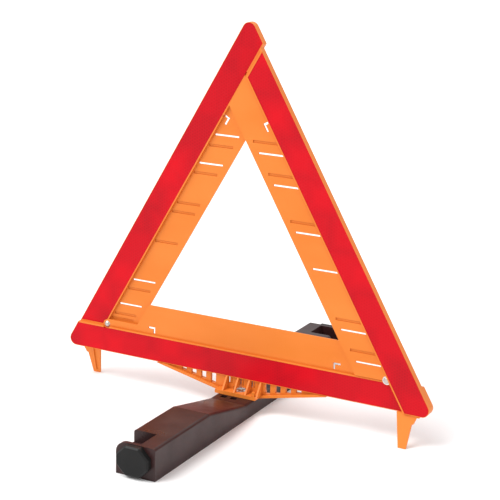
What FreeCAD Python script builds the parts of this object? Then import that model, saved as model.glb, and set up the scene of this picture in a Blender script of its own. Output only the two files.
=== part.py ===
import FreeCAD, Part
import math
import os
import Sketcher

# Folding roadside warning triangle: three orange frames with red reflectors, hinged to each other
# at the two lower corners, on a black weighted base that swivels under the bottom frame.
# Millimetres. Origin on the ground under the swivel axis, +Z up, the triangle faces -Y and the
# base runs along Y. The two arms are drawn in their own frame (x along the arm from its hinge,
# z outward, -y towards the bottom frame) and stood up at 60 degrees by their placements.

ROWS = (
    ("side_length", 457.2, "sharp corner to sharp corner, 18 inches"),
    ("panel_width", 63.5, "outer edge to inner edge, 2.5 inches"),
    ("panel_thick", 7.4, "over the lips"),
    ("beam_width", 29.5, "reflector zone with both lips"),
    ("web_thick", 1.54, "flat fluorescent web"),
    ("lip", 1.4, "inner lip along each reflector"),
    ("thin_lip", 0.45, "lip along the outer edges"),
    ("bottom_edge", 35.3, "height of the triangle's lower edge"),
    ("corner_radius", 8.0, "the six outer corners"),
    ("layer_step", 4.7, "mid-plane of each arm from the bottom frame's"),
    ("lap_gap", 1.25, "half-lap shoulder past the hinge line"),
    ("reflector_sink", 0.35, "reflector face below the lip"),
    ("reflector_play", 0.1, "around each reflector"),
    ("hub_relief", 4.8, "round relief in the beam at each hinge"),
    ("hub_boss", 4.4, "boss radius"),
    ("boss_height", 1.5, "boss above the web"),
    ("hub_disc", 5.2, "web disc round each hinge"),
    ("rivet_shank", 2.4, "hinge rivet"),
    ("rivet_head", 3.7, "hinge rivet head"),
    ("rivet_dome", 2.1, "height of the dome"),
    ("rivet_tail", 3.4, "upset end"),
    ("hinge_bore", 2.47, "running fit on the shank"),
    ("fixed_bore", 2.42, "tight fit on the shank"),
    ("washer_radius", 4.6, "hinge washer"),
    ("washer_thick", 0.5, "hinge washer"),
    ("relief_depth", 1.6, "blind relief behind the far lip"),
    ("web_foot", 1.0, "arm web stops this far below the hinge"),
    ("tip_reach", 0.0, "right arm's wall past its stop"),
    ("tip_wall", 2.2, "right arm's wall at its tip"),
    ("left_web_end", 12.0, "left web ends behind the right beam"),
    ("strip_height", 8.0, "web strip above the beam, out to the hinge"),
    ("right_stop", 2.4, "right arm's beam stops short of the apex line"),
    ("slot_height", 2.0, "louvre slot"),
    ("slot_length", 29.0, "louvre slot"),
    ("groove_depth", 1.0, "louvre groove"),
    ("groove_height", 3.0, "louvre groove"),
    ("tongue_width", 7.5, "snap tongue"),
    ("tongue_length", 9.5, "snap tongue"),
    ("tongue_slit", 2.3, "slit round a snap tongue"),
    ("foot_root_x", 196.0, "centre of the foot at its root"),
    ("foot_tip_x", 197.7, "centre of the foot at the ground"),
    ("foot_root_width", 19.0, "foot"),
    ("foot_tip_width", 8.6, "foot"),
    ("foot_root_y", 5.2, "foot"),
    ("foot_tip_y", 15.4, "foot"),
    ("foot_thick", 4.4, "foot"),
    ("foot_rib", 2.0, "rib on the foot"),
    ("foot_room", 38.5, "clearance for the bottom frame's corner, from the hinge"),
    ("pad_length", 50.0, "swivel pad"),
    ("pad_width", 28.0, "swivel pad"),
    ("pad_bottom", 17.3, "swivel pad underside"),
    ("pad_thick", 4.0, "swivel pad"),
    ("chord_end", 108.0, "where the lower chord meets the panel"),
    ("chord_thick", 3.0, "lower chord"),
    ("chord_depth", 10.0, "lower chord across"),
    ("truss_thick", 3.6, "wall between chord and panel"),
    ("window_width", 6.5, "window in that wall"),
    ("window_step", 12.5, "window pitch"),
    ("window_first", 31.2, "first window"),
    ("fin_thick", 2.0, "gusset fin"),
    ("fin_step", 14.0, "gusset fin pitch"),
    ("base_length", 435.0, "base without its end caps"),
    ("base_width", 45.0, "base"),
    ("base_height", 34.2, "raised ends"),
    ("saddle_height", 17.0, "low middle"),
    ("saddle_half", 30.0, "half length of the flat saddle"),
    ("ramp_end", 110.0, "where the ramps reach full height"),
    ("base_wall", 2.4, "base shell"),
    ("base_round", 3.0, "rounding of the top edges"),
    ("cover_thick", 2.0, "bottom cover"),
    ("pocket_floor", 21.0, "corner pocket"),
    ("pocket_near", 184.0, "corner pocket"),
    ("pocket_far", 213.0, "corner pocket"),
    ("pocket_side", 3.5, "corner pocket past the middle"),
    ("cap_width", 37.0, "end cap"),
    ("cap_height", 31.4, "end cap"),
    ("cap_low", 2.4, "end cap's lower edge"),
    ("cap_shift", 0.5, "end cap off the middle, towards the pocket"),
    ("strip_round", 11.0, "upper corner of the end wall beside the pocket"),
    ("cap_proud", 7.0, "end cap"),
    ("cap_corner", 10.5, "end cap's cut corners"),
    ("swivel_shank", 3.0, "swivel rivet"),
    ("swivel_head", 5.6, "swivel rivet"),
    ("ballast_length", 300.0, "steel bar"),
    ("ballast_width", 24.0, "steel bar"),
    ("ballast_thick", 8.0, "steel bar"),
    ("screw_x", 16.3, "cover screws"),
    ("screw_y", 170.0, "cover screws"),
)

doc = FreeCAD.newDocument("WarningTriangle")
sheet = doc.addObject("Spreadsheet::Sheet", "Sizes")
for row, (alias, number, note) in enumerate(ROWS, start=1):
    sheet.set("A%d" % row, note)
    sheet.set("B%d" % row, str(number))
    sheet.setAlias("B%d" % row, alias)
doc.recompute()

SIN60 = math.sin(math.radians(60))
BIG = 600.0
UP_Y = FreeCAD.Rotation(FreeCAD.Vector(1, 0, 0), 90)
ALONG_Y = FreeCAD.Rotation(FreeCAD.Vector(1, 0, 0), -90)
HALF_TURN = FreeCAD.Rotation(FreeCAD.Vector(0, 0, 1), 180)
HORIZONTAL = FreeCAD.Rotation(FreeCAD.Vector(0, 1, 0), 60)


def size(alias):
    return float(sheet.get(alias))


half_side = size("side_length") / 2
half_width = size("panel_width") / 2
pivot_x = half_side - half_width * (1 / SIN60 + math.tan(math.radians(30)))
pivot_z = size("bottom_edge") + half_width
span = 2 * pivot_x
beam_inner = half_width - size("beam_width")
half_thick = size("panel_thick") / 2
half_web = size("web_thick") / 2


def bind(thing, prop, text):
    thing.setExpression(prop, str(text).replace("$", "Sizes."))


def at(thing, x=0, y=0, z=0, turn=None):
    thing.Placement = FreeCAD.Placement(FreeCAD.Vector(0, 0, 0), turn or FreeCAD.Rotation())
    for axis, text in (("x", x), ("y", y), ("z", z)):
        bind(thing, "Placement.Base." + axis, text)
    return thing


def box(name, length, width, height, x, y, z, turn=None):
    thing = doc.addObject("Part::Box", name)
    bind(thing, "Length", length)
    bind(thing, "Width", width)
    bind(thing, "Height", height)
    return at(thing, x, y, z, turn)


def rod(name, radius, height, x, y, z, turn=None):
    thing = doc.addObject("Part::Cylinder", name)
    bind(thing, "Radius", radius)
    bind(thing, "Height", height)
    return at(thing, x, y, z, turn)


def cone(name, radius, end_radius, height, x, y, z, turn=None):
    thing = doc.addObject("Part::Cone", name)
    bind(thing, "Radius1", radius)
    bind(thing, "Radius2", end_radius)
    bind(thing, "Height", height)
    return at(thing, x, y, z, turn)


def fuse(name, things):
    thing = doc.addObject("Part::MultiFuse", name)
    thing.Shapes = things
    thing.Refine = True
    return thing


def cut(name, base, tools):
    thing = doc.addObject("Part::Cut", name)
    thing.Base = base
    thing.Tool = tools[0] if len(tools) == 1 else fuse(name + "_tools", tools)
    thing.Refine = True
    return thing


def gather(name, things):
    thing = doc.addObject("Part::Compound", name)
    thing.Links = things
    return thing


def turned(name, thing):
    """The same shape, half a turn round the vertical axis."""
    copy = doc.addObject("Part::Compound", name)
    copy.Links = [thing]
    copy.Placement = FreeCAD.Placement(FreeCAD.Vector(0, 0, 0), HALF_TURN)
    return copy


def region(planes, lips=0.0, play=0.0):
    """Corners, counter-clockwise, of the area where a*x + b*z <= c for every plane.

    With lips = 1 each side moves in by its own lip, the thin one on the outer edges.
    """
    points = [(-BIG, -BIG), (BIG, -BIG), (BIG, BIG), (-BIG, BIG)]
    for plane in planes:
        a, b, c = plane
        limit = c - play - lips * size("thin_lip" if plane in OUTER_EDGES else "lip")
        kept = []
        for i, p in enumerate(points):
            q = points[(i + 1) % len(points)]
            dp = a * p[0] + b * p[1] - limit
            dq = a * q[0] + b * q[1] - limit
            if dp <= 0:
                kept.append(p)
            if dp * dq < 0:
                s = dp / (dp - dq)
                kept.append((p[0] + s * (q[0] - p[0]), p[1] + s * (q[1] - p[1])))
        points = kept
    return points


def sketch_outline(name, points, round_near=(), radius=0.0):
    """A closed outline in the XZ plane; corners close to a point of round_near are rounded."""
    sketch = doc.addObject("Sketcher::SketchObject", name)
    count = len(points)
    ends = []
    for i, p in enumerate(points):
        before = points[i - 1]
        after = points[(i + 1) % count]
        here = FreeCAD.Vector(p[0], p[1], 0)
        back = (FreeCAD.Vector(before[0], before[1], 0) - here).normalize()
        ahead = (FreeCAD.Vector(after[0], after[1], 0) - here).normalize()
        near = [q for q in round_near if math.dist(p, q) < 9]
        if near and radius > 0:
            half = back.getAngle(ahead) / 2
            reach = radius / math.tan(half)
            middle = here + (back + ahead).normalize() * (radius / math.sin(half))
            ends.append((here + back * reach, here + ahead * reach, middle))
        else:
            ends.append((here, here, None))
    for i in range(count):
        start = ends[i][1]
        end = ends[(i + 1) % count][0]
        sketch.addGeometry(Part.LineSegment(start, end), False)
        first, last, middle = ends[(i + 1) % count]
        if middle is not None:
            a = math.atan2(first.y - middle.y, first.x - middle.x)
            b = math.atan2(last.y - middle.y, last.x - middle.x)
            if b < a:
                b += 2 * math.pi
            circle = Part.Circle(middle, FreeCAD.Vector(0, 0, 1), radius)
            sketch.addGeometry(Part.ArcOfCircle(circle, a, b), False)
    return sketch


def slab(name, points, low, thick, round_near=(), radius=0.0):
    """An outline drawn in XZ and thickened along +Y from y = low."""
    sketch = sketch_outline(name + "_sketch", points, round_near, radius)
    at(sketch, 0, low, 0, UP_Y)
    thing = doc.addObject("Part::Extrusion", name)
    thing.Base = sketch
    thing.DirMode = "Custom"
    thing.Dir = FreeCAD.Vector(0, 1, 0)
    bind(thing, "LengthFwd", thick)
    thing.Solid = True
    return thing


def rim(name, planes, low, thick, corners):
    """The lip that runs round one reflector bed."""
    radius = size("corner_radius")
    outer = slab(name + "_outer", region(planes), low, thick, corners, radius)
    inner = slab(name + "_inner", region(planes, 1), low, thick, corners, radius - size("thin_lip"))
    return cut(name, outer, [inner])


def reflector(name, planes, low, corners, notches):
    """A reflector plate that lies in its bed, notched round the hinge.

    Each notch is x, z, radius, lowest y and depth.
    """
    play = size("reflector_play")
    radius = size("corner_radius") - size("thin_lip") - play
    thick = "$panel_thick / 2 - $web_thick / 2 - $reflector_sink"
    plate = slab(name + "_plate", region(planes, 1, play), low, thick, corners, radius)
    holes = []
    for i, (x, z, wide, start, depth) in enumerate(notches):
        holes.append(rod("%s_notch_%d" % (name, i), wide, depth, x, start, z, ALONG_Y))
    return cut(name, plate, holes) if holes else plate


# ---------------------------------------------------------------- bottom frame

B_CORNERS = ((-half_side, size("bottom_edge")), (half_side, size("bottom_edge")))
OUT_RIGHT = (SIN60, 0.5, SIN60 * half_side + 0.5 * size("bottom_edge"))
OUT_LEFT = (-SIN60, 0.5, SIN60 * half_side + 0.5 * size("bottom_edge"))
HINGE_RIGHT = SIN60 * pivot_x + 0.5 * pivot_z
BOTTOM = (0, -1, -size("bottom_edge"))
LOW_END = (-SIN60, -0.5, half_width)
TOP_END = (SIN60, -0.5, SIN60 * span + half_width)
OUTER = (0, 1, half_width)
OUTER_EDGES = (OUT_RIGHT, OUT_LEFT, BOTTOM, LOW_END, TOP_END, OUTER)
BEAM_TOP = (0, 1, size("bottom_edge") + size("beam_width"))
FRONT_BEAM = (BOTTOM, OUT_LEFT, BEAM_TOP, (SIN60, 0.5, HINGE_RIGHT + size("lap_gap")))
REAR_BEAM = (BOTTOM, OUT_RIGHT, BEAM_TOP, (-SIN60, 0.5, HINGE_RIGHT + size("lap_gap")))
REAR_FACE = "$web_thick / 2"
FRONT_LOW = "-$panel_thick / 2"
HALF_LIP = "$panel_thick / 2 - $web_thick / 2"


def bottom_web():
    edge = size("bottom_edge")
    top = edge + size("panel_width")
    beam_top = edge + size("beam_width")
    strip_top = beam_top + size("strip_height")
    outer_end = half_side - size("beam_width") / math.tan(math.radians(60))
    inward = HINGE_RIGHT - half_width
    low_end = (inward - 0.5 * strip_top) / SIN60
    high_end = (inward - 0.5 * top) / SIN60
    right = [(half_side, edge), (outer_end, beam_top), (pivot_x, beam_top), (pivot_x, strip_top),
             (low_end, strip_top), (high_end, top)]
    left = [(-x, z) for x, z in reversed(right)]
    web = slab("bottom_web", right + left, "-$web_thick / 2", "$web_thick", B_CORNERS,
               size("corner_radius"))
    discs = []
    for side, x in (("left", -pivot_x), ("right", pivot_x)):
        discs.append(rod("bottom_disc_" + side, "$hub_disc", "$web_thick", x, "-$web_thick / 2",
                         pivot_z, ALONG_Y))
    return [web] + discs


def truss_half(side, sign):
    """Lower chord and windowed wall on one side of the swivel pad."""
    start = size("pad_length") / 2
    low = size("pad_bottom")
    edge = size("bottom_edge")
    reach = size("chord_end")
    thick = size("chord_thick")
    free = edge - 0.5
    chord = [(start - 1, low), (start, low), (reach - 3, free - 0.15), (reach - 3, free),
             (reach - 16, free), (start, low + thick), (start - 1, low + thick)]
    wall = [(start - 1, low + 1), (start, low + 1), (reach - 2, free), (reach, edge + 0.4),
            (start - 1, edge + 0.4)]
    if sign < 0:
        chord = [(-x, z) for x, z in reversed(chord)]
        wall = [(-x, z) for x, z in reversed(wall)]
    solid_chord = slab("chord_" + side, chord, "-$chord_depth / 2", "$chord_depth")
    solid_wall = slab("truss_wall_" + side, wall, "-$truss_thick / 2", "$truss_thick")
    windows = []
    slope = (edge - low) / (reach - start)
    for i in range(4):
        middle = size("window_first") + i * size("window_step") + 2.5
        left = middle - size("window_width") / 2
        right = middle + size("window_width") / 2
        floor = low + thick + slope * (right - start) + 0.4
        height = edge - 0.6 - floor
        x = left if sign > 0 else -right
        windows.append(box("window_%s_%d" % (side, i), "$window_width", 20, height, x, -10, floor))
    return [cut("truss_" + side, solid_wall, windows), solid_chord]


def swivel_pad():
    """Pad, centre wall and slanted fins under the middle of the bottom frame."""
    low = size("pad_bottom")
    top = low + size("pad_thick")
    edge = size("bottom_edge")
    pad = box("pad", "$pad_length", "$pad_width", "$pad_thick", "-$pad_length / 2",
              "-$pad_width / 2", "$pad_bottom")
    full_wall = box("centre_wall_blank", "$pad_length + 2", "$truss_thick", edge - low - 1.6,
                    "-$pad_length / 2 - 1", "-$truss_thick / 2", low + 2)
    openings = []
    for i in range(3):
        x = (i - 1) * size("fin_step")
        openings.append(box("centre_window_%d" % i, 8.5, 20, 7.5, x - 4.25, -10, edge - 8.5))
    wall = cut("centre_wall", full_wall, openings)
    fins = []
    front_line = ((-14.0, top - 1), (1.0, top - 1), (1.0, edge + 0.4), (-3.6, edge + 0.4),
                  (-3.9, edge - 0.5))
    rear_line = tuple((-x, z) for x, z in reversed(front_line))
    for i in range(8):
        step = (i % 4) * size("fin_step")
        x = 26.0 - step if i < 4 else step - 26.0
        sketch = sketch_outline("fin_sketch_%d" % i, front_line if i < 4 else rear_line)
        turn = FreeCAD.Rotation(FreeCAD.Vector(0, 0, 1), 90).multiply(UP_Y)
        at(sketch, x - size("fin_thick") / 2, 0, 0, turn)
        fin = doc.addObject("Part::Extrusion", "fin_%d" % i)
        fin.Base = sketch
        fin.DirMode = "Custom"
        fin.Dir = FreeCAD.Vector(1, 0, 0)
        bind(fin, "LengthFwd", "$fin_thick")
        fin.Solid = True
        fins.append(fin)
    peg = box("peg", 3, 3, 5.5, 20.5, -13.5, top - 0.5)
    return [pad, wall, peg] + fins


def tongue_slits(name, x, z, turn=None, along=0):
    """The L-shaped slit that frees a small snap tongue; x, z is its corner."""
    slit = size("tongue_slit")
    wide = size("tongue_width")
    long = size("tongue_length")
    if along:
        parts = [
            box(name + "_a", long, 20, slit, -long, -10, 0),
            box(name + "_b", slit, 20, wide, -slit, -10, 0),
        ]
    else:
        parts = [
            box(name + "_a", long - 1, 20, slit, 1 - long, -10, -slit),
            box(name + "_b", slit, 20, wide, -slit, -10, -wide),
        ]
    group = fuse(name, parts)
    return at(group, x, 0, z, turn)


def bottom_frame():
    front = rim("front_rim", FRONT_BEAM, FRONT_LOW, HALF_LIP, B_CORNERS)
    rear = rim("rear_rim", REAR_BEAM, REAR_FACE, HALF_LIP, B_CORNERS)
    body = bottom_web() + [front, rear] + swivel_pad()
    body += truss_half("right", 1)
    body += truss_half("left", -1)
    bores = []
    for side, x in (("left", -pivot_x), ("right", pivot_x)):
        bores.append(rod("front_relief_" + side, "$hub_relief", 6, x, "-$web_thick / 2 - 6", pivot_z,
                         ALONG_Y))
        bores.append(rod("rear_relief_" + side, "$hub_relief", 6, x, REAR_FACE, pivot_z, ALONG_Y))
    bores.append(rod("pad_bore", "$swivel_shank + 0.05", 12, 0, 0, "$pad_bottom - 3"))
    bores.append(rod("pad_counterbore", 9, 2, 0, 0, "$pad_bottom - 0.9"))
    bores.append(rod("head_room", 8.4, 4.6, 0, 0, "$pad_bottom + $pad_thick - 1.4"))
    bores.append(tongue_slits("bottom_tongue_right", 110, 73.6, HALF_TURN))
    bores.append(tongue_slits("bottom_tongue_left", -110, 73.6))
    relieved = cut("bottom_relieved", fuse("bottom_solid", body), bores)
    left_boss = rod("bottom_boss_left", "$hub_boss", "$boss_height + 0.2", -pivot_x,
                    "$web_thick / 2 - 0.2", pivot_z, ALONG_Y)
    right_boss = rod("bottom_boss_right", "$hub_boss", "$boss_height + 0.2", pivot_x,
                     "-$web_thick / 2 - $boss_height", pivot_z, ALONG_Y)
    holes = []
    for side, x in (("left", -pivot_x), ("right", pivot_x)):
        holes.append(rod("bottom_hole_" + side, "$fixed_bore", 30, x, -15, pivot_z, ALONG_Y))
    whole = fuse("bottom_bossed", [relieved, left_boss, right_boss])
    return cut("bottom_frame", whole, holes)


def bottom_reflectors():
    wide = "$hub_relief + 0.4"
    notches = ((-pivot_x, pivot_z, wide, -10, 20), (pivot_x, pivot_z, wide, -10, 20))
    front = reflector("bottom_front_reflector", FRONT_BEAM,
                      "-$panel_thick / 2 + $reflector_sink", B_CORNERS, notches)
    rear = reflector("bottom_rear_reflector", REAR_BEAM, REAR_FACE, B_CORNERS, notches)
    return [front, rear]


# ---------------------------------------------------------------- arms

WEB_EDGE = (0, -1, half_width)
BEAM_EDGE = (0, -1, -beam_inner)
ARM_CORNERS = ((-55.0, half_width), (span + 55.0, half_width))
NEAR_CUT = (-SIN60, -0.5, beam_inner)


def end_plane(reach):
    return (SIN60, -0.5, SIN60 * span + reach)


def arm_turn(side):
    stand = FreeCAD.Rotation(FreeCAD.Vector(0, 1, 0), -60)
    return stand if side == "left" else HALF_TURN.multiply(stand)


def stand_up(thing, side):
    sign = -1 if side == "left" else 1
    step = "$layer_step" if side == "left" else "-$layer_step"
    return at(thing, sign * pivot_x, step, pivot_z, arm_turn(side))


def upright_to_arm(thing):
    """Carries a shape drawn where the standing left arm is into the arm's own frame."""
    stand = FreeCAD.Placement(FreeCAD.Vector(-pivot_x, size("layer_step"), pivot_z), arm_turn("left"))
    group = gather(thing.Name + "_local", [thing])
    group.Placement = stand.inverse()
    return group


def louvre(name, height, low, thick, tall):
    """A level slot across the web, height above the hinge when the arm stands."""
    start_z = beam_inner - 1.2
    start_x = (height - 0.5 * start_z) / SIN60
    half = size(tall) / 2
    return box(name, "$slot_length", thick, "$" + tall, start_x - half * SIN60, low,
               start_z - half * 0.5, HORIZONTAL)


def louvres(side):
    """Levels of the louvre lines above the ground: the first list goes through the web."""
    pairs = ((301, 289), (268, 257), (221, 210), (173.5, 173.5), (124, 113), (93, 81), (74.5, 74.5))
    tools = []
    for i, (upper, lower) in enumerate(pairs):
        if side == "left":
            through = () if i in (2, 3, 6) else (upper,)
            grooves = (upper, lower) if i == 2 else (lower,)
        else:
            through = (lower,) if i != 6 else ()
            grooves = (upper,) if i not in (3, 6) else ()
        for j, level in enumerate(through):
            tools.append(louvre("%s_slot_%d_%d" % (side, i, j), level - pivot_z, -5, 10, "slot_height"))
        for j, level in enumerate(grooves):
            name = "%s_groove_%d_%d" % (side, i, j)
            low = -size("web_thick") / 2 - 1
            if side == "right":
                low = size("web_thick") / 2 - size("groove_depth")
            tools.append(louvre(name, level - pivot_z, low, "1 + $groove_depth", "groove_height"))
    return tools


def foot(side):
    """A tapered foot with a rib and an outer gusset, drawn under the standing left arm."""
    top = size("bottom_edge") + 0.4
    drop = top - 0.2
    root_x = -size("foot_root_x")
    tip_x = -size("foot_tip_x")
    blocks = []
    deep = size("foot_thick")
    shapes = (
        ("blade", 0, size("foot_root_width"), size("foot_tip_width"), 0, deep - 1.2, deep - 1.6, drop),
        ("rib", 0, size("foot_rib"), size("foot_rib"), -1.6, deep, deep - 0.6, drop - 4),
        ("gusset", -10.5, 7, 3, 0, deep - 1.2, deep - 1.4, 10),
    )
    for label, aside, root_wide, tip_wide, shift, root_deep, tip_deep, length in shapes:
        share = length / drop
        end_x = root_x + share * (tip_x - root_x) + aside * 0.8
        end_y = size("foot_root_y") + share * (size("foot_tip_y") - size("foot_root_y"))
        wedge = doc.addObject("Part::Wedge", "%s_foot_%s" % (side, label))
        wedge.Ymin = 0
        wedge.Ymax = length
        wedge.Xmin = root_x + aside - root_wide / 2
        wedge.Xmax = root_x + aside + root_wide / 2
        wedge.X2min = end_x - tip_wide / 2
        wedge.X2max = end_x + tip_wide / 2
        wedge.Zmin = size("foot_root_y") - size("foot_thick") / 2 + shift
        wedge.Zmax = wedge.Zmin.Value + root_deep
        wedge.Z2min = end_y - size("foot_thick") / 2 + shift
        wedge.Z2max = wedge.Z2min.Value + tip_deep
        at(wedge, 0, 0, top, ALONG_Y)
        room = rod("%s_foot_%s_room" % (side, label), "$foot_room", 20, -pivot_x, -16.1, pivot_z, ALONG_Y)
        blocks.append(upright_to_arm(cut("%s_foot_%s_cleared" % (side, label), wedge, [room])))
    flange = box(side + "_foot_flange", 9, "$panel_thick - 2", 2.6, -212,
                 "$layer_step - $panel_thick / 2 + 0.5", "$bottom_edge - 2.2")
    blocks.append(upright_to_arm(flange))
    return blocks


def arm_planes(side):
    """Outline planes of the web, the plate behind the beam, the beam, and its near bed."""
    web_end = size("left_web_end") if side == "left" else 0.3
    plate_end = half_width if side == "left" else 0.3
    beam_end = half_width if side == "left" else -size("right_stop")
    web_foot = (-SIN60, -0.5, size("web_foot"))
    web = (WEB_EDGE, (0, 1, beam_inner + 0.5), web_foot, end_plane(web_end))
    plate = (BEAM_EDGE, OUTER, LOW_END, end_plane(plate_end))
    beam = (BEAM_EDGE, OUTER, LOW_END, end_plane(beam_end))
    bed = (BEAM_EDGE, OUTER, NEAR_CUT, end_plane(beam_end))
    return web, plate, beam, bed


def right_tip():
    """The right arm's outer wall runs on to the corner of the left arm."""
    reach = size("tip_reach")
    inner = (0, -1, -(half_width - size("tip_wall")))
    start = (-SIN60, 0.5, -(SIN60 * span - size("right_stop") - 1))
    return (OUTER, inner, start, end_plane(reach))


def arm_frame(side):
    web, plate, beam, bed = arm_planes(side)
    web_slab = slab(side + "_web", region(web), "-$web_thick / 2", "$web_thick")
    plate_slab = slab(side + "_plate", region(plate), "-$web_thick / 2", "$web_thick", ARM_CORNERS,
                      size("corner_radius"))
    disc = rod(side + "_disc", "$hub_disc", "$web_thick", 0, "-$web_thick / 2", 0, ALONG_Y)
    near = rim(side + "_near_rim", beam, FRONT_LOW, HALF_LIP, ARM_CORNERS)
    near_bed = rim(side + "_near_bed", bed, FRONT_LOW, HALF_LIP, ARM_CORNERS)
    far = rim(side + "_far_rim", beam, REAR_FACE, HALF_LIP, ARM_CORNERS)
    body = [web_slab, plate_slab, disc, near, near_bed, far]
    if side == "right":
        body.append(slab("right_tip", region(right_tip()), "-$panel_thick / 2", "$panel_thick"))
    body += foot(side)
    reliefs = [
        rod(side + "_near_relief", "$hub_relief", 6, 0, "-$web_thick / 2 - 6", 0, ALONG_Y),
        rod(side + "_far_relief", "$hub_relief", "$relief_depth", 0, REAR_FACE, 0, ALONG_Y),
        rod(side + "_head_relief", "$rivet_head + 0.25", 6, span, "-$web_thick / 2 - 6", 0, ALONG_Y),
    ]
    reliefs += louvres(side)
    reliefs.append(tongue_slits(side + "_tongue", 295, -4.5, None, 1))
    relieved = cut(side + "_relieved", fuse(side + "_solid", body), reliefs)
    boss = rod(side + "_boss", "$hub_boss", "$boss_height + 0.2", 0,
               "-$web_thick / 2 - $boss_height", 0, ALONG_Y)
    hole = rod(side + "_hole", "$hinge_bore", 30, 0, -15, 0, ALONG_Y)
    frame = cut(side + "_frame", fuse(side + "_bossed", [relieved, boss]), [hole])
    return stand_up(frame, side)


def arm_reflectors(side):
    web, plate, beam, bed = arm_planes(side)
    near_label = "front" if side == "left" else "rear"
    far_label = "rear" if side == "left" else "front"
    near_notches = [(0, 0, "$hub_relief + 0.4", -10, 20), (span, 0, "$rivet_head + 0.35", -10, 20)]
    notches = [(0, 0, "$hub_relief + 0.4", 0, "$web_thick / 2 + $relief_depth + 0.1")]
    near = reflector("%s_%s_reflector" % (side, near_label), bed,
                     "-$panel_thick / 2 + $reflector_sink", ARM_CORNERS, near_notches)
    far = reflector("%s_%s_reflector" % (side, far_label), beam, REAR_FACE, ARM_CORNERS, notches)
    return [stand_up(near, side), stand_up(far, side)]


# ---------------------------------------------------------------- hinge rivets

def hinge_rivet(side):
    """Domed head, shank through both frames, upset tail over a washer."""
    dome = size("rivet_dome")
    ball = (size("rivet_head") ** 2 + dome ** 2) / (2 * dome)
    head = doc.addObject("Part::Sphere", side + "_dome")
    bind(head, "Radius", "($rivet_head ^ 2 + $rivet_dome ^ 2) / (2 * $rivet_dome)")
    head.Angle1 = math.degrees(math.asin((ball - dome) / ball))
    head.Angle2 = 90
    flip = FreeCAD.Rotation(FreeCAD.Vector(1, 0, 0), 90)
    at(head, 0, ball - dome - size("web_thick") / 2, 0, flip)
    grip = size("layer_step") + half_web + 0.05
    tail_top = size("layer_step") + half_web + size("relief_depth") - 0.1
    shank = rod(side + "_shank", "$rivet_shank", tail_top + half_web + 0.2, 0,
                "-$web_thick / 2 - 0.2", 0, ALONG_Y)
    upset_low = grip + size("washer_thick")
    upset = cone(side + "_upset", "$rivet_tail", "$rivet_tail - 0.9", tail_top - upset_low, 0,
                 upset_low, 0, ALONG_Y)
    whole = fuse(side + "_rivet", [head, shank, upset])
    turn = FreeCAD.Rotation() if side == "left" else HALF_TURN
    return at(whole, -pivot_x if side == "left" else pivot_x, 0, pivot_z, turn)


def hinge_washer(side):
    grip = size("layer_step") + half_web + 0.05
    disc = rod(side + "_washer_disc", "$washer_radius", "$washer_thick", 0, grip, 0, ALONG_Y)
    hole = rod(side + "_washer_hole", "$rivet_shank + 0.03", 20, 0, 0, 0, ALONG_Y)
    whole = cut(side + "_rivet_washer", disc, [hole])
    turn = FreeCAD.Rotation() if side == "left" else HALF_TURN
    return at(whole, -pivot_x if side == "left" else pivot_x, 0, pivot_z, turn)


# ---------------------------------------------------------------- base

def base_profile(wall):
    """Side view of the base: low flat saddle between two ramps."""
    half = size("base_length") / 2 - wall
    top = size("base_height") - wall
    saddle = size("saddle_height") - wall
    bend = wall * 0.1
    return [(-half, 0), (half, 0), (half, top), (size("ramp_end") + bend, top),
            (size("saddle_half") + bend, saddle), (-size("saddle_half") - bend, saddle),
            (-size("ramp_end") - bend, top), (-half, top)]


def base_block(name, wall):
    sketch = sketch_outline(name + "_sketch", base_profile(wall))
    turn = FreeCAD.Rotation(FreeCAD.Vector(0, 0, 1), 90).multiply(UP_Y)
    at(sketch, "-($base_width / 2 - %g)" % wall, 0, 0, turn)
    block = doc.addObject("Part::Extrusion", name)
    block.Base = sketch
    block.DirMode = "Custom"
    block.Dir = FreeCAD.Vector(1, 0, 0)
    bind(block, "LengthFwd", "$base_width - %g" % (2 * wall))
    block.Solid = True
    return block


def pocket(name, grow):
    """Corner pocket, open at the side of the base, with one slanted wall."""
    half = size("base_width") / 2
    wedge = doc.addObject("Part::Wedge", name)
    wedge.Xmin = -half - (5 if grow == 0 else 0)
    wedge.X2min = wedge.Xmin
    wedge.Xmax = size("pocket_side") - 2 + grow
    wedge.X2max = size("pocket_side") + 1.5 + grow
    wedge.Ymin = 0
    wedge.Ymax = size("base_height") - size("pocket_floor") + (5 if grow == 0 else grow)
    wedge.Zmin = size("pocket_near") - grow
    wedge.Zmax = size("pocket_far") + grow
    wedge.Z2min = wedge.Zmin
    wedge.Z2max = wedge.Zmax
    if grow > 0:
        wedge.Ymax = size("base_height") - size("pocket_floor") + grow
    turn = FreeCAD.Rotation(FreeCAD.Vector(1, 0, 0), 90)
    return at(wedge, 0, 0, "$pocket_floor - %g" % grow, turn)


def screw_places():
    x = size("screw_x")
    y = size("screw_y")
    return [(-x, -y), (x, -y), (-x, 0), (x, 0), (-x, y), (x, y)]


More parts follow.
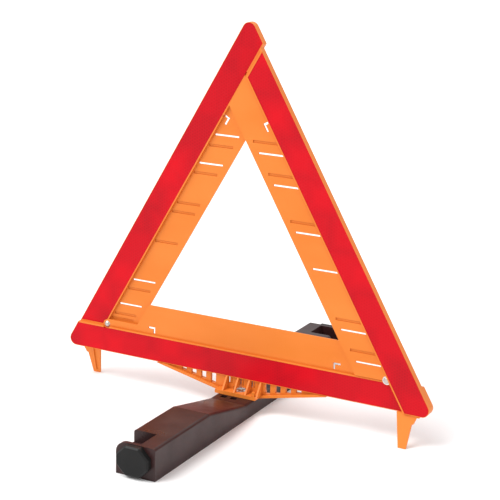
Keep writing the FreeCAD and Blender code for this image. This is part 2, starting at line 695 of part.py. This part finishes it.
def base_shell():
    outer = base_block("base_outer", 0)
    doc.recompute()
    edges = []
    for i, edge in enumerate(outer.Shape.Edges, start=1):
        ends = [v.Point for v in edge.Vertexes]
        on_side = all(abs(abs(p.x) - size("base_width") / 2) < 0.01 for p in ends)
        if on_side and all(p.z > 1 for p in ends) and abs(ends[0].x - ends[1].x) < 0.01:
            edges.append((i, size("base_round"), size("base_round")))
    rounded = doc.addObject("Part::Fillet", "base_rounded")
    rounded.Base = outer
    rounded.Edges = edges
    inner = base_block("base_inner", size("base_wall"))
    hollow = cut("base_hollow", rounded, [inner])
    wall = size("base_wall")
    liner = pocket("pocket_liner", wall)
    room = base_block("liner_room", 0.8)
    liner_in = doc.addObject("Part::Common", "pocket_liner_inside")
    liner_in.Base = liner
    liner_in.Tool = room
    posts = []
    for i, (x, y) in enumerate(screw_places()):
        top = size("saddle_height") - 1 if y == 0 else size("base_height") - 1
        posts.append(rod("post_%d" % i, 3.0, top - size("cover_thick"), x, y, "$cover_thick"))
    body = fuse("base_body", [hollow, liner_in, turned("pocket_liner_back", liner_in)] + posts)
    front_pocket = pocket("pocket_front", 0)
    tools = [front_pocket, turned("pocket_back", front_pocket)]
    tools.append(rod("saddle_bore", "$swivel_shank + 0.02", 20, 0, 0, 5))
    corner = box("strip_corner", "$strip_round", 6, "$strip_round", "-$base_width / 2 - 0.01",
                 "-$base_length / 2 - 1", "$base_height - $strip_round + 0.01")
    rounding = rod("strip_rounding", "$strip_round", 8, "-$base_width / 2 + $strip_round",
                   "-$base_length / 2 - 2", "$base_height - $strip_round", ALONG_Y)
    spandrel = cut("strip_spandrel", corner, [rounding])
    tools += [spandrel, turned("strip_spandrel_back", spandrel)]
    for i, x in enumerate((-11, 1)):
        tools.append(box("saddle_slot_front_%d" % i, 7, 6, 8, x - 3.5, -21.5, 12))
        tools.append(box("saddle_slot_back_%d" % i, 7, 6, 8, -x - 3.5, 15.5, 12))
    for i, (x, y) in enumerate(screw_places()):
        tools.append(rod("pilot_%d" % i, 1.3, 9, x, y, 0))
    for side, y in (("front", -1), ("rear", 1)):
        low = "-$base_length / 2 - 1" if y < 0 else "$base_length / 2 - $base_wall - 1"
        tools.append(box("cap_socket_" + side, 16, "$base_wall + 2", 12, -8, low, 7))
    return cut("base_shell", body, tools)


def base_cover():
    half = "$base_width / 2 - $base_wall - 0.1"
    plate = box("cover_plate", "$base_width - 2 * $base_wall - 0.2",
                "$base_length - 2 * $base_wall - 0.2", "$cover_thick", "-(%s)" % half,
                "-($base_length / 2 - $base_wall - 0.1)", 0)
    tools = []
    for i, (x, y) in enumerate(screw_places()):
        tools.append(rod("cover_hole_%d" % i, 1.7, 10, x, y, -1))
        tools.append(cone("cover_sink_%d" % i, 3.1, 1.7, 1.4, x, y, 0))
    return cut("base_bottom_cover", plate, tools)


def cover_screws():
    screws = []
    for i, (x, y) in enumerate(screw_places()):
        head = cone("screw_head_%d" % i, 2.75, 1.4, 1.4, x, y, 0.2)
        shank = rod("screw_shank_%d" % i, 1.22, 7.5, x, y, 0.5)
        drive_a = box("screw_drive_a_%d" % i, 3, 0.7, 0.8, x - 1.5, y - 0.35, 0)
        drive_b = box("screw_drive_b_%d" % i, 0.7, 3, 0.8, x - 0.35, y - 1.5, 0)
        blank = fuse("screw_blank_%d" % i, [head, shank])
        screws.append(cut("screw_%d" % i, blank, [drive_a, drive_b]))
    return gather("cover_screws", screws)


def end_cap(side):
    """Octagonal cap with a plug that presses into the end wall."""
    wide = size("cap_width") / 2
    shift = size("cap_shift")
    top = size("cap_low") + size("cap_height")
    low = size("cap_low")
    corner = size("cap_corner")
    points = [(-wide + corner, low), (wide - corner, low), (wide, low + corner), (wide, top - corner),
              (wide - corner, top), (-wide + corner, top), (-wide, top - corner), (-wide, low + corner)]
    points = [(x - shift, z) for x, z in points]
    plate = slab(side + "_cap_plate", points, "-$base_length / 2 - $cap_proud", "$cap_proud", points, 3.0)
    doc.recompute()
    face_y = -size("base_length") / 2 - size("cap_proud")
    edges = []
    for i, edge in enumerate(plate.Shape.Edges, start=1):
        if all(abs(v.Point.y - face_y) < 0.01 for v in edge.Vertexes):
            edges.append((i, 1.6, 1.6))
    eased = doc.addObject("Part::Chamfer", side + "_cap_eased")
    eased.Base = plate
    eased.Edges = edges
    plug = box(side + "_cap_plug", 15.9, "$base_wall + 1.5", 11.9, -7.95, "-$base_length / 2 - 0.5", 7.05)
    cap = fuse(side + "_end_cap", [eased, plug])
    if side == "rear":
        cap.Placement = FreeCAD.Placement(FreeCAD.Vector(0, 0, 0), HALF_TURN)
    return cap


def ballast():
    bar = box("ballast_blank", "$ballast_width", "$ballast_length", "$ballast_thick",
              "-$ballast_width / 2", "-$ballast_length / 2", "$cover_thick")
    return cut("ballast_bar", bar, [rod("ballast_relief", 5.6, 9, 0, 0, "$cover_thick + 5.5")])


def swivel_parts():
    pad_top = size("pad_bottom") + size("pad_thick")
    under = size("saddle_height") - size("base_wall")
    seat = pad_top - 1.3
    dome = 1.5
    head_radius = size("swivel_head")
    ball = (head_radius ** 2 + dome ** 2) / (2 * dome)
    head = doc.addObject("Part::Sphere", "swivel_dome")
    bind(head, "Radius", "($swivel_head ^ 2 + %g) / %g" % (dome ** 2, 2 * dome))
    head.Angle1 = math.degrees(math.asin((ball - dome) / ball))
    head.Angle2 = 90
    at(head, 0, 0, seat + 0.6 - (ball - dome))
    shank = rod("swivel_shank_rod", "$swivel_shank", seat + 0.8 - (under - 2.2), 0, 0, under - 2.2)
    tail = cone("swivel_tail", 4.0, 5.0, 1.2, 0, 0, under - 2.4)
    rivet = fuse("swivel_rivet", [head, shank, tail])
    washers = []
    spots = (("swivel_top_washer", 7.5, 0.6, seat), ("swivel_friction_washer", 8.5, 1.1, 17.0),
             ("swivel_backing_washer", 8.0, 1.2, under - 1.2))
    for label, radius, thick, low in spots:
        disc = rod(label + "_disc", radius, thick, 0, 0, low)
        hole = rod(label + "_hole", "$swivel_shank + 0.04", thick + 2, 0, 0, low - 1)
        washers.append(cut(label, disc, [hole]))
    return [rivet] + washers


pieces = [base_shell(), base_cover(), cover_screws(), end_cap("front"), end_cap("rear"), ballast()]
pieces += swivel_parts()
pieces += [bottom_frame()] + bottom_reflectors()
for hand in ("left", "right"):
    pieces += [arm_frame(hand)] + arm_reflectors(hand)
    pieces += [hinge_rivet(hand), hinge_washer(hand)]
doc.recompute()

for thing in doc.Objects:
    if "Invalid" in thing.State or "Error" in thing.State:
        raise RuntimeError("%s is %s" % (thing.Name, thing.State))
os.makedirs("parts", exist_ok=True)
for piece in pieces:
    shape = piece.Shape
    if shape.isNull() or not shape.isValid():
        raise RuntimeError("%s has no valid shape" % piece.Label)
    print("%-26s solids %d volume %.0f" % (piece.Label, len(shape.Solids), shape.Volume))
for piece in pieces:
    piece.Shape.exportStep("parts/%s.step" % piece.Label)
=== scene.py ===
import math

import bpy
from mathutils import Matrix, Vector

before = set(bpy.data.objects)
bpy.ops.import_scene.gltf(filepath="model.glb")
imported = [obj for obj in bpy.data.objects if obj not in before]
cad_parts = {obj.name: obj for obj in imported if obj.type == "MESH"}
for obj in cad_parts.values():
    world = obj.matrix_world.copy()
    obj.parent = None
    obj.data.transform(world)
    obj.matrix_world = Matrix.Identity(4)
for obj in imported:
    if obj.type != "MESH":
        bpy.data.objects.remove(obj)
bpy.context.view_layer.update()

# Lengths are in metres and colours are linear.


# ------------------------------------------------------------------ materials

# The Mix node's sockets in colour mode, by index, because its other modes use the same names.
MIX_AMOUNT, MIX_FIRST, MIX_SECOND = 0, 6, 7
MIX_RESULT = 2

# Most of a noise lies between these, so they are what is stretched to a wanted range.
NOISE_LOW, NOISE_HIGH = 0.3, 0.7


class Surface:
    """A Principled material and the nodes that feed it."""

    def __init__(self, name, **settings):
        self.material = bpy.data.materials.new(name)
        self.material.use_nodes = True
        self.tree = self.material.node_tree
        self.tree.nodes.clear()
        output = self.add("ShaderNodeOutputMaterial")
        self.shader = self.add("ShaderNodeBsdfPrincipled")
        self.join(self.shader.outputs["BSDF"], output.inputs["Surface"])
        self.position = self.add("ShaderNodeTexCoord").outputs["Object"]
        for key, value in settings.items():
            self.shader.inputs[key.replace("_", " ")].default_value = value

    def add(self, kind, **settings):
        node = self.tree.nodes.new(kind)
        for key, value in settings.items():
            setattr(node, key, value)
        return node

    def join(self, source, target):
        self.tree.links.new(source, target)

    def feed(self, socket, source):
        self.join(source, self.shader.inputs[socket])

    # Painted light: a constant emission that makes a surface glow.
    def glow(self, colour, strength):
        self.shader.inputs["Emission Color"].default_value = (*colour, 1.0)
        self.shader.inputs["Emission Strength"].default_value = strength

    def turned(self, angles=(0, 0, 0), scale=(1, 1, 1)):
        mapping = self.add("ShaderNodeMapping")
        mapping.inputs["Rotation"].default_value = angles
        mapping.inputs["Scale"].default_value = scale
        self.join(self.position, mapping.inputs["Vector"])
        return mapping.outputs["Vector"]

    def noise(self, scale, detail=3.0, roughness=0.5, position=None):
        node = self.add("ShaderNodeTexNoise")
        node.inputs["Scale"].default_value = scale
        node.inputs["Detail"].default_value = detail
        node.inputs["Roughness"].default_value = roughness
        self.join(position or self.position, node.inputs["Vector"])
        return node.outputs["Fac"]

    def between(self, source, low, high, from_low=NOISE_LOW, from_high=NOISE_HIGH):
        node = self.add("ShaderNodeMapRange")
        ends = {"From Min": from_low, "From Max": from_high, "To Min": low, "To Max": high}
        for key, value in ends.items():
            node.inputs[key].default_value = value
        self.join(source, node.inputs["Value"])
        return node.outputs["Result"]

    def plus(self, first, second):
        node = self.add("ShaderNodeMath", operation="ADD")
        self.join(first, node.inputs[0])
        self.join(second, node.inputs[1])
        return node.outputs["Value"]

    def times(self, source, factor):
        node = self.add("ShaderNodeMath", operation="MULTIPLY")
        self.join(source, node.inputs[0])
        node.inputs[1].default_value = factor
        return node.outputs["Value"]

    def blend(self, amount, first, second):
        """first where amount is 0 and second where it is 1. Each is a colour or a socket."""
        node = self.add("ShaderNodeMix", data_type="RGBA")
        self.join(amount, node.inputs[MIX_AMOUNT])
        for index, value in ((MIX_FIRST, first), (MIX_SECOND, second)):
            if isinstance(value, tuple):
                node.inputs[index].default_value = (*value, 1.0)
            else:
                self.join(value, node.inputs[index])
        return node.outputs[MIX_RESULT]

    def bump(self, height, distance, strength):
        node = self.add("ShaderNodeBump")
        node.inputs["Distance"].default_value = distance
        node.inputs["Strength"].default_value = strength
        self.join(height, node.inputs["Height"])
        return node.outputs["Normal"]


def fluorescent_orange():
    """Orange moulding: a slow drift of tone, painted shade darkening its crevices, a fine
    grain and a weak painted glow.
    """
    s = Surface("fluorescent_orange_plastic", Specular_IOR_Level=0.2)
    drift = s.noise(scale=9.0, detail=2.0, position=s.turned(scale=(1, 1, 2.2)))
    colour = s.blend(s.between(drift, 0, 1), (0.64, 0.165, 0.022), (0.70, 0.198, 0.034))
    # Painted shade: an ambient-occlusion probe, local to each part, darkens the orange towards
    # (0.50, 0.10, 0.010) in its crevices.
    crevice_shade = s.add("ShaderNodeAmbientOcclusion", only_local=True)
    crevice_shade.inputs["Distance"].default_value = 0.004
    unshaded_share = s.between(crevice_shade.outputs["AO"], 0, 1, from_low=0.35, from_high=0.9)
    s.feed("Base Color", s.blend(unshaded_share, (0.50, 0.10, 0.010), colour))
    # Painted glow: a weak orange emission, though the frame is no lamp.
    s.glow((1.0, 0.30, 0.04), strength=0.10)
    s.feed("Roughness", s.between(s.noise(scale=60.0, detail=4.0), low=0.32, high=0.48))
    grain = s.noise(scale=1400.0, detail=2.0)
    s.feed("Normal", s.bump(grain, distance=0.00004, strength=0.5))
    return s.material


def prism_red():
    """Red lens: three sets of prism bands 60 degrees apart, over large patches of tone."""
    s = Surface("prismatic_red_lens", Roughness=0.25, Specular_IOR_Level=0.08)
    bands = []
    for angle in (0.0, 60.0, -60.0):
        wave = s.add("ShaderNodeTexWave", wave_type="BANDS", bands_direction="X",
                     wave_profile="TRI")
        wave.inputs["Scale"].default_value = 110.0
        s.join(s.turned(angles=(0, math.radians(angle), 0)), wave.inputs["Vector"])
        bands.append(wave.outputs["Fac"])
    prism = s.times(s.plus(s.plus(bands[0], bands[1]), bands[2]), factor=0.333)
    patch = s.add("ShaderNodeTexVoronoi", feature="F1", distance="CHEBYCHEV")
    patch.inputs["Scale"].default_value = 26.0
    s.join(s.turned(scale=(1, 0.01, 1)), patch.inputs["Vector"])
    tone = s.between(patch.outputs["Distance"], 0, 1, from_low=0.0, from_high=0.7)
    deep = s.blend(tone, (0.59, 0.005, 0.012), (0.37, 0.006, 0.012))
    crest = s.between(prism, low=0, high=0.35, from_low=0.2, from_high=0.8)
    s.feed("Base Color", s.blend(crest, deep, (0.62, 0.010, 0.02)))
    # Painted glow: a weak red emission, though the lens is no lamp.
    s.glow((0.8, 0.01, 0.02), strength=0.08)
    s.feed("Normal", s.bump(prism, distance=0.0002, strength=0.25))
    return s.material


def black_plastic(name, tone, rough, shine):
    """Black moulding, with lighter worn patches and a visible grain."""
    s = Surface(name, Specular_IOR_Level=shine)
    wear = s.noise(scale=45.0, detail=5.0, roughness=0.6)
    worn = tuple(channel * 1.6 for channel in tone)
    s.feed("Base Color", s.blend(s.between(wear, 0, 1), tone, worn))
    sheen = s.noise(scale=30.0, detail=4.0)
    s.feed("Roughness", s.between(sheen, low=rough - 0.07, high=rough + 0.1))
    grain = s.noise(scale=1100.0, detail=3.0)
    s.feed("Normal", s.bump(grain, distance=0.00008, strength=0.6))
    return s.material


def metal(name, tone, rough, scale=500.0):
    """Bare or plated metal, whose marks are darker, rougher and slightly raised."""
    s = Surface(name, Metallic=1.0)
    marks = s.noise(scale, detail=4.0, roughness=0.6)
    dull = tuple(channel * 0.8 for channel in tone)
    s.feed("Base Color", s.blend(s.between(marks, 0, 1), tone, dull))
    s.feed("Roughness", s.between(marks, low=rough, high=rough + 0.15))
    s.feed("Normal", s.bump(marks, distance=0.00003, strength=0.4))
    return s.material


def nylon():
    s = Surface("washer_nylon", Roughness=0.45)
    s.feed("Base Color", s.blend(s.noise(scale=120.0), (0.72, 0.71, 0.67), (0.8, 0.79, 0.76)))
    return s.material


orange = fluorescent_orange()
red = prism_red()
# The shell's red tint is a painted reflection of the red lenses; the near-black is the
# moulding's own colour.
shell = black_plastic("moulded_black_plastic", (0.024, 0.009, 0.009), rough=0.33, shine=0.30)
cap = black_plastic("cap_black_plastic", (0.008, 0.008, 0.008), rough=0.36, shine=0.18)
cover = black_plastic("cover_black_plastic", (0.018, 0.018, 0.018), rough=0.5, shine=0.4)
rivet = metal("rivet_steel", (0.60, 0.56, 0.52), rough=0.34)
washer = metal("zinc_washer", (0.74, 0.74, 0.75), rough=0.3)
screw = metal("blackened_screw", (0.2, 0.2, 0.2), rough=0.35)
ballast = metal("rough_steel_bar", (0.25, 0.24, 0.23), rough=0.55, scale=90.0)

# The three frames are orange and the six reflectors are red. The rest is listed.
LOOKS = {
    "base_shell": shell,
    "base_bottom_cover": cover,
    "front_end_cap": cap,
    "rear_end_cap": cap,
    "cover_screws": screw,
    "ballast_bar": ballast,
    "swivel_rivet": rivet,
    "swivel_top_washer": washer,
    "swivel_backing_washer": washer,
    "swivel_friction_washer": nylon(),
    "left_rivet": rivet,
    "right_rivet": rivet,
    "left_rivet_washer": washer,
    "right_rivet_washer": washer,
}
for name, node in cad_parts.items():
    look = LOOKS.get(name, red if name.endswith("reflector") else orange)
    for slot in node.material_slots:
        slot.material = look


# ------------------------------------------------------------------ floor, light and camera

def put(name, data):
    """A new object in the scene."""
    thing = bpy.data.objects.new(name, data)
    bpy.context.scene.collection.objects.link(thing)
    return thing


def floor():
    """A pale floor, with its edge far enough off to stay out of the picture."""
    reach = 15.0
    corners = [(-reach, -reach, 0), (reach, -reach, 0), (reach, reach, 0), (-reach, reach, 0)]
    mesh = bpy.data.meshes.new("studio_floor")
    mesh.from_pydata(corners, [], [(0, 1, 2, 3)])
    plane = put("studio_floor", mesh)
    s = Surface("pale_floor", Roughness=0.9)
    s.feed("Base Color", s.blend(s.noise(scale=3.0), (0.93, 0.93, 0.93), (0.95, 0.95, 0.95)))
    mesh.materials.append(s.material)


def put_lamp(light, spot, aim):
    lamp = put(light.name, light)
    lamp.location = spot
    lamp.rotation_euler = (Vector(aim) - Vector(spot)).to_track_quat("-Z", "Y").to_euler()


def softbox(name, spot, aim, width, height, power):
    light = bpy.data.lights.new(name, "AREA")
    light.shape = "RECTANGLE"
    light.size = width
    light.size_y = height
    light.energy = power
    put_lamp(light, spot, aim)


def soft_sun(spot, strength, spread):
    light = bpy.data.lights.new("soft_sun", "SUN")
    light.energy = strength
    light.angle = math.radians(spread)
    put_lamp(light, spot, aim=(0, 0, 0))


def white_sky(strength):
    world = bpy.data.worlds.new("studio")
    bpy.context.scene.world = world
    world.use_nodes = True
    back = world.node_tree.nodes["Background"]
    back.inputs["Color"].default_value = (1.0, 1.0, 1.0, 1.0)
    back.inputs["Strength"].default_value = strength


def standard_view_transform():
    """The default view transform washes out the reds and oranges."""
    bpy.context.scene.view_settings.view_transform = "Standard"


def camera():
    """The camera fitted to the photo's edges, turned about a point in the triangle."""
    azimuth = math.radians(27.556)
    elevation = math.radians(15.459)
    roll = math.radians(1.3219)
    target = Vector((0.007376, 0.0, 0.181324))
    distance = 1.60935

    back = Vector((math.sin(azimuth) * math.cos(elevation),
                   -math.cos(azimuth) * math.cos(elevation),
                   math.sin(elevation)))
    right = (-back).cross(Vector((0, 0, 1))).normalized()
    up = right.cross(-back)
    x_axis = right * math.cos(roll) + up * math.sin(roll)
    y_axis = up * math.cos(roll) - right * math.sin(roll)
    turn = Matrix((x_axis, y_axis, back)).transposed().to_4x4()

    data = bpy.data.cameras.new("main_camera")
    data.sensor_width = 36.0
    data.lens = 108.45
    data.clip_start = 0.05
    data.clip_end = 50.0
    eye = put("main_camera", data)
    eye.matrix_world = Matrix.Translation(target + back * distance) @ turn
    bpy.context.scene.camera = eye


floor()
softbox("key_softbox", (-0.9, -1.6, 1.7), (0, 0, 0.15), width=1.2, height=0.9, power=9)
softbox("fill_softbox", (1.7, -1.1, 1.0), (0, 0, 0.15), width=1.2, height=1.2, power=3)
softbox("back_softbox", (0.3, 1.8, 1.5), (0, 0, 0.2), width=1.8, height=1.2, power=4)
soft_sun((-1.6, -1.4, 3.4), strength=2.0, spread=35)
white_sky(0.8)
standard_view_transform()
camera()
